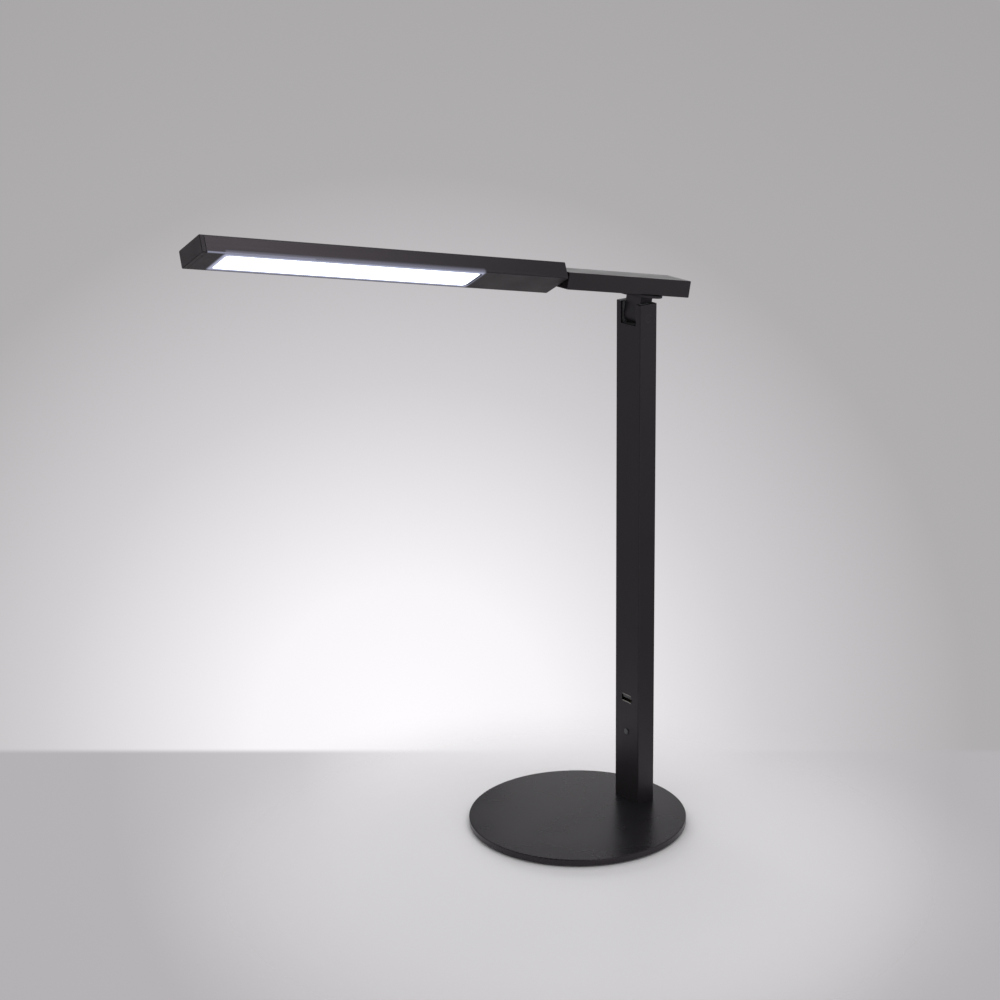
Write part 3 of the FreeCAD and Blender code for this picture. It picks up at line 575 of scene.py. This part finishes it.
# %% Finish: painted glow and painted highlight line round the window
# Painted glow round the window and a painted highlight line on the channel's near lower edge, both emitted
# by black parts that are no lamp.
painted_glow_reach_mm = 4.2
painted_glow_level = 0.55
painted_glow_lean_mm = 1.0
painted_glow_tip_lean_mm = 1.6
painted_glow_half_length_mm = 111.0
painted_glow_end_steepness = 1.2
window_below_mm = 1.5
painted_highlight_level = 0.32
painted_highlight_half_mm = 0.2
painted_highlight_fade_mm = 0.8
painted_highlight_half_length_mm = 44.0
painted_highlight_tip_lean_mm = 84.0
head_half_width_mm = 15.0
window_up = head_along.cross(window_across)
underside_middle = window_middle - window_up * window_below_mm * MM
painted_glow_middle = underside_middle + (head_along * painted_glow_tip_lean_mm + window_across * painted_glow_lean_mm) * MM
painted_highlight_middle = underside_middle + (head_along * painted_highlight_tip_lean_mm + window_across * head_half_width_mm) * MM


# Adds the painted glow and the painted highlight line as emission on a black finish.
def add_painted_glow(finish, painted_line_level):
    tree = finish.node_tree
    shader = shader_of(finish)
    place = add(tree, "ShaderNodeTexCoord").outputs["Object"]
    from_window = distance_past_box(tree, place, painted_glow_middle, (
        (head_along, painted_glow_half_length_mm, painted_glow_end_steepness), (window_across, window_half_width_mm, 1.0),
        (window_up, 0.0, 1.0)))
    painted_halo = add(tree, "ShaderNodeMapRange", {"interpolation_type": "SMOOTHSTEP"},
               {"From Max": painted_glow_reach_mm * MM, "To Min": painted_glow_level, "To Max": 0.0},
               {"Value": from_window})
    from_painted_highlight = distance_past_box(tree, place, painted_highlight_middle, (
        (head_along, painted_highlight_half_length_mm, 1.0), (window_across, painted_highlight_half_mm, 1.0),
        (window_up, painted_highlight_half_mm, 1.0)))
    painted_line = add(tree, "ShaderNodeMapRange", {"interpolation_type": "SMOOTHSTEP"},
               {"From Max": painted_highlight_fade_mm * MM, "To Min": painted_line_level, "To Max": 0.0}, {"Value": from_painted_highlight})
    level = add(tree, "ShaderNodeMath", {"operation": "MAXIMUM"},
                links={0: painted_halo.outputs["Result"], 1: painted_line.outputs["Result"]})
    shader.inputs["Emission Color"].default_value = colour("#DCE0FF")
    tree.links.new(level.outputs["Value"], shader.inputs["Emission Strength"])


cover_abs = spark_textured_abs("spark_textured_cover_abs_painted_glow")
# The channel gets the painted glow and the painted highlight line; the cover gets the painted glow only.
for painted_glow_finish, painted_line_level in ((head_skin, painted_highlight_level), (cover_abs, 0.0)):
    add_painted_glow(painted_glow_finish, painted_line_level)
# Prints the reach of the painted glow.
print("light spills", painted_glow_reach_mm, "mm on", head_skin.name, "and", cover_abs.name)

# %% [markdown]
# ## Bright metals: socket shell, shafts, springs and contacts
# The charging socket is a folded nickel-plated shell, and the hinge hardware is turned steel. Plating and
# turning leave fine scratches, so the roughness wanders and a faint grain catches the light. A metal has no
# colour of its own under its shine: its base colour is the colour of its reflections. The socket's long
# walls are bright, and its short walls are painted dark as painted shade, so from the front it shows as two
# strokes.

# %% Finish: plated metals
plate_cloud_mm = 2.5
scratch_mm = 0.25
scratch_depth_mm = 0.004
scratch_strength = 0.3
# Painted shade: the socket's short walls are darkened past this half width.
socket_unshaded_half_mm = 5.3
socket_painted_shade_fade_mm = 0.5


def plated_metal(name, first, second, smooth, rough):
    finish, tree, shader, place = start_finish(name)
    cloud = clouds(tree, place, plate_cloud_mm)
    shader.inputs["Metallic"].default_value = 1.0
    tree.links.new(between(tree, cloud, first, second), shader.inputs["Base Color"])
    tree.links.new(spread(tree, cloud, smooth, rough), shader.inputs["Roughness"])
    add_relief(tree, shader, clouds(tree, place, scratch_mm), scratch_strength, scratch_depth_mm)
    return finish


def socket_nickel_painted_shade():
    finish = plated_metal("socket_nickel_painted_shade", "#9C9A96", "#A8A6A2", 0.30, 0.40)
    tree = finish.node_tree
    shader = shader_of(finish)
    plate = shader.inputs["Base Color"].links[0].from_socket
    place = add(tree, "ShaderNodeTexCoord").outputs["Object"]
    across = add(tree, "ShaderNodeSeparateXYZ", links={"Vector": place}).outputs["Y"]
    size = add(tree, "ShaderNodeMath", {"operation": "ABSOLUTE"}, links={0: across}).outputs["Value"]
    painted_shade_share = add(tree, "ShaderNodeMapRange", {"interpolation_type": "SMOOTHSTEP"},
                 {"From Min": socket_unshaded_half_mm * MM,
                  "From Max": (socket_unshaded_half_mm + socket_painted_shade_fade_mm) * MM},
                 {"Value": size}).outputs["Result"]
    # Mixes the painted shade into the short walls of the shell.
    shaded_walls = add(tree, "ShaderNodeMix", {"data_type": "RGBA"}, {MIX_B: colour("#3A393B")},
                {MIX_FACTOR: painted_shade_share, MIX_A: plate})
    tree.links.new(shaded_walls.outputs[MIX_RESULT], shader.inputs["Base Color"])
    return finish


socket_nickel = socket_nickel_painted_shade()
nickel = plated_metal("nickel_plated_steel", "#C4C2BE", "#D2D0CC", 0.26, 0.36)
gold = plated_metal("gold_plated_contact", "#C79A4B", "#D6AC60", 0.2, 0.3)
button_satin = plated_metal("satin_gunmetal_button", "#626265", "#707074", 0.42, 0.5)
screw_oxide = plated_metal("black_oxide_screw", "#343437", "#414145", 0.36, 0.46)
print("made", socket_nickel.name, nickel.name, gold.name, button_satin.name, screw_oxide.name)

# %% [markdown]
# ## The soft pad and the inner pieces
# Under the base is a sheet of closed-cell foam, which keeps the steel off the table. It is matt and full of
# tiny cells. Inside the lamp are washers, boards, soldered parts, leads and the white reflector. They hardly
# show, but each is still what it is: the board has its copper tracks under green lacquer, and the lead has
# the slight shine of soft vinyl.

# %% Finish: foam, plastics and boards
cell_strength = 0.6
brick_row_height = 0.25
mortar_width = 0.03
track_depth_mm = 0.03
track_strength = 0.3
lacquer_roughness = 0.35


def inner_finish(name, first, second, cloud_mm, rough, cell_mm, cell_depth_mm):
    finish, tree, shader, place = start_finish(name)
    cloud = clouds(tree, place, cloud_mm)
    cells = add(tree, "ShaderNodeTexVoronoi", values={"Scale": per_mm(cell_mm)}, links={"Vector": place})
    tree.links.new(between(tree, cloud, first, second), shader.inputs["Base Color"])
    shader.inputs["Roughness"].default_value = rough
    add_relief(tree, shader, cells.outputs["Distance"], cell_strength, cell_depth_mm)
    return finish


def lacquered_board(name, lacquer, copper, track_mm):
    finish, tree, shader, place = start_finish(name)
    tracks = add(tree, "ShaderNodeTexBrick", values={
        "Color1": colour(copper), "Color2": colour(copper), "Mortar": colour(lacquer),
        "Scale": per_mm(track_mm / brick_row_height), "Row Height": brick_row_height,
        "Mortar Size": mortar_width}, links={"Vector": place})
    tree.links.new(tracks.outputs["Color"], shader.inputs["Base Color"])
    shader.inputs["Roughness"].default_value = lacquer_roughness
    add_relief(tree, shader, tracks.outputs["Fac"], track_strength, track_depth_mm)
    return finish


foam = inner_finish("closed_cell_foam", "#121212", "#1A1A1A", 8.0, 0.9, 0.8, 0.12)
acetal = inner_finish("black_acetal_washer", "#1C1C1C", "#242424", 3.0, 0.45, 0.4, 0.005)
epoxy = inner_finish("moulded_epoxy_parts", "#1B1B1C", "#262627", 3.0, 0.6, 0.3, 0.01)
vinyl = inner_finish("black_vinyl_lead", "#141414", "#1B1B1B", 5.0, 0.42, 0.5, 0.01)
nylon = inner_finish("grey_nylon_tongue", "#434347", "#4C4C50", 3.0, 0.5, 0.4, 0.005)
white_gloss = inner_finish("white_reflector_plastic", "#F0F0F0", "#F6F6F6", 12.0, 0.25, 0.8, 0.01)
phosphor = inner_finish("diode_phosphor", "#E8D47A", "#F0DE8C", 0.8, 0.5, 0.2, 0.01)
green_board = lacquered_board("green_lacquered_board", "#1D5A30", "#2E7A45", 1.2)
white_board = lacquered_board("white_lacquered_board", "#EDEDEA", "#DADAD4", 1.6)
print("made", foam.name, "and the finishes of the inner pieces")

# %% [markdown]
# ## Dressing the pieces
# Each piece already carries a slot named for its kind of finish, so most pieces are dressed by slot in one
# loop. A few differ from their slot: the head's channel runs another way than the post, it and its cover
# carry a painted glow beside the window, the knuckle is dull, the fork is painted pale as painted light in
# its slot, and the socket has its own shell, with painted shade on its short walls, and its own tongue.

# %% Dress every piece
by_slot = {
    "base_black": base_coat, "cast_black": casting, "extrusion_black": post_skin, "plastic_black": black_abs,
    "pad": foam, "steel": nickel, "button_metal": button_satin, "gilt": gold, "washer": acetal,
    "board": green_board, "led_substrate": white_board, "electronics": epoxy, "lead": vinyl, "opal": opal,
    "white_reflector": white_gloss, "diode": phosphor,
}
by_piece = {"head_housing": head_skin, "head_cover": cover_abs, "knuckle": hinge_casting,
            "fork_insert": fork_casting_painted_light, "usb_shell": socket_nickel, "usb_tongue": nylon}
for name, piece in nodes.items():
    slot_name = piece.material_slots[0].material.name
    piece.material_slots[0].material = by_piece.get(name, by_slot[slot_name])
print("dressed", len(nodes), "pieces in", len(set(by_slot.values()) | set(by_piece.values())), "finishes")

# %% [markdown]
# ## Cross-recess screws
# Six countersunk screws show when the lamp is turned round: four hold the floor plate under the arm, and
# two hold the foot block behind the post. The solid pieces have plain heads, because a driver's recess is
# only for the eye. All six are one shape at two sizes, so a Geometry Nodes tree makes it once from named
# sizes and sets it on a point for each screw. The points are read from the solid screws: each loose island
# of that mesh is one screw, its middle gives the axis, and its furthest point gives the level of the head.

# %% Read where the screws are
neck_axis = Vector(joints["arm_swivel"]["axis"])
rearward = Vector((-1, 0, 0))
weld_mm = 0.01


def screw_spots(node_name, outward):
    solid = bmesh.new()
    solid.from_mesh(nodes[node_name].data)
    bmesh.ops.remove_doubles(solid, verts=solid.verts, dist=weld_mm * MM)
    waiting = set(solid.verts)
    spots = []
    while waiting:
        island = set()
        front = [waiting.pop()]
        while front:
            corner = front.pop()
            island.add(corner)
            for edge in corner.link_edges:
                other = edge.other_vert(corner)
                if other in waiting:
                    waiting.discard(other)
                    front.append(other)
        middle = sum((corner.co for corner in island), Vector()) / len(island)
        level = max(corner.co.dot(outward) for corner in island)
        spots.append(middle + outward * (level - middle.dot(outward)))
    solid.free()
    return spots


arm_spots = screw_spots("arm_screws", -neck_axis)
foot_spots = screw_spots("foot_screws", rearward)
print("found", len(arm_spots), "screws under the arm and", len(foot_spots), "behind the post")

# %% [markdown]
# The tree builds the head as a cone and the shank as a cylinder, then cuts two crossed slots out of the
# head with a boolean. The screw is drawn with its head at zero and its shank along Z, so each copy only has
# to be turned until Z points into the lamp. The tree ends by realizing the copies, because an exported
# model keeps no instances.

# %% Build the screw tree
screw_sizes = ("Head Diameter", "Shank Diameter", "Length", "Recess Length", "Recess Width", "Recess Depth")
screw_sides = 32


def screw_tree():
    tree = bpy.data.node_groups.new("cross_recess_screws", "GeometryNodeTree")
    face = tree.interface
    face.new_socket("Spots", in_out="INPUT", socket_type="NodeSocketGeometry")
    for size in screw_sizes:
        face.new_socket(size, in_out="INPUT", socket_type="NodeSocketFloat")
    face.new_socket("Inward", in_out="INPUT", socket_type="NodeSocketVector")
    face.new_socket("Finish", in_out="INPUT", socket_type="NodeSocketMaterial")
    face.new_socket("Screws", in_out="OUTPUT", socket_type="NodeSocketGeometry")
    given = add(tree, "NodeGroupInput").outputs
    head_radius = add(tree, "ShaderNodeMath", {"operation": "MULTIPLY"}, {1: 0.5},
                      {0: given["Head Diameter"]}).outputs[0]
    shank_radius = add(tree, "ShaderNodeMath", {"operation": "MULTIPLY"}, {1: 0.5},
                       {0: given["Shank Diameter"]}).outputs[0]
    head_depth = add(tree, "ShaderNodeMath", {"operation": "SUBTRACT"},
                     links={0: head_radius, 1: shank_radius}).outputs[0]
    cone = add(tree, "GeometryNodeMeshCone", values={"Vertices": screw_sides}, links={
        "Radius Top": shank_radius, "Radius Bottom": head_radius, "Depth": head_depth}).outputs["Mesh"]
    shank_length = add(tree, "ShaderNodeMath", {"operation": "SUBTRACT"},
                       links={0: given["Length"], 1: head_depth}).outputs[0]
    rod = add(tree, "GeometryNodeMeshCylinder", values={"Vertices": screw_sides}, links={
        "Radius": shank_radius, "Depth": shank_length}).outputs["Mesh"]
    rod_level = add(tree, "ShaderNodeMath", {"operation": "MULTIPLY_ADD"}, {1: 0.5},
                    {0: shank_length, 2: head_depth}).outputs[0]
    rod_middle = add(tree, "ShaderNodeCombineXYZ", links={"Z": rod_level}).outputs["Vector"]
    shank = add(tree, "GeometryNodeTransform", links={
        "Geometry": rod, "Translation": rod_middle}).outputs["Geometry"]
    slot_depth = add(tree, "ShaderNodeMath", {"operation": "MULTIPLY"}, {1: 2.0},
                     {0: given["Recess Depth"]}).outputs[0]
    slot_size = add(tree, "ShaderNodeCombineXYZ", links={
        "X": given["Recess Length"], "Y": given["Recess Width"], "Z": slot_depth}).outputs["Vector"]
    slot = add(tree, "GeometryNodeMeshCube", links={"Size": slot_size}).outputs["Mesh"]
    crossed = add(tree, "GeometryNodeTransform", values={"Rotation": (0, 0, math.pi / 2)},
                  links={"Geometry": slot}).outputs["Geometry"]
    cut = add(tree, "GeometryNodeMeshBoolean", {"operation": "DIFFERENCE"}, links={"Mesh 1": cone})
    tree.links.new(slot, cut.inputs["Mesh 2"])
    tree.links.new(crossed, cut.inputs["Mesh 2"])
    whole = add(tree, "GeometryNodeJoinGeometry")
    for piece in (shank, cut.outputs["Mesh"]):
        tree.links.new(piece, whole.inputs["Geometry"])
    turn = add(tree, "FunctionNodeAlignRotationToVector", {"axis": "Z"}, links={"Vector": given["Inward"]})
    copies = add(tree, "GeometryNodeInstanceOnPoints", links={
        "Points": given["Spots"], "Instance": whole.outputs["Geometry"],
        "Rotation": turn.outputs["Rotation"]})
    real = add(tree, "GeometryNodeRealizeInstances", links={"Geometry": copies.outputs["Instances"]})
    dressed = add(tree, "GeometryNodeSetMaterial", links={
        "Geometry": real.outputs["Geometry"], "Material": given["Finish"]})
    add(tree, "NodeGroupOutput", links={"Screws": dressed.outputs["Geometry"]})
    return tree


cross_screws = screw_tree()
print("screw tree has", len(cross_screws.nodes), "nodes")

# %% Set the screws in the lamp
arm_screw_mm = (4.4, 2.5, 6.0, 2.6, 0.6, 0.7)
foot_screw_mm = (5.4, 3.0, 7.0, 3.2, 0.7, 0.9)


def set_screws(name, spots, inward, sizes_mm, node_name, body):
    points = bpy.data.meshes.new(name + "_spots")
    points.from_pydata(spots, [], [])
    carrier = bpy.data.objects.new(name + "_spots", points)
    bpy.context.collection.objects.link(carrier)
    maker = carrier.modifiers.new("screws", "NODES")
    maker.node_group = cross_screws
    sockets = {item.name: item.identifier for item in cross_screws.interface.items_tree}
    for size, size_mm in zip(screw_sizes, sizes_mm):
        maker[sockets[size]] = size_mm * MM
    maker[sockets["Inward"]] = inward
    maker[sockets["Finish"]] = screw_oxide
    made = bpy.data.meshes.new_from_object(carrier.evaluated_get(bpy.context.evaluated_depsgraph_get()))
    bpy.data.objects.remove(carrier)
    screws = bpy.data.objects.new(name, made)
    bpy.context.collection.objects.link(screws)
    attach(screws, body)
    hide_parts(node_name)
    print(name, "has", len(made.polygons), "faces")


set_screws("arm_cross_screws", arm_spots, neck_axis, arm_screw_mm, "arm_screws", "arm")
set_screws("foot_cross_screws", foot_spots, -rearward, foot_screw_mm, "foot_screws", "stand")
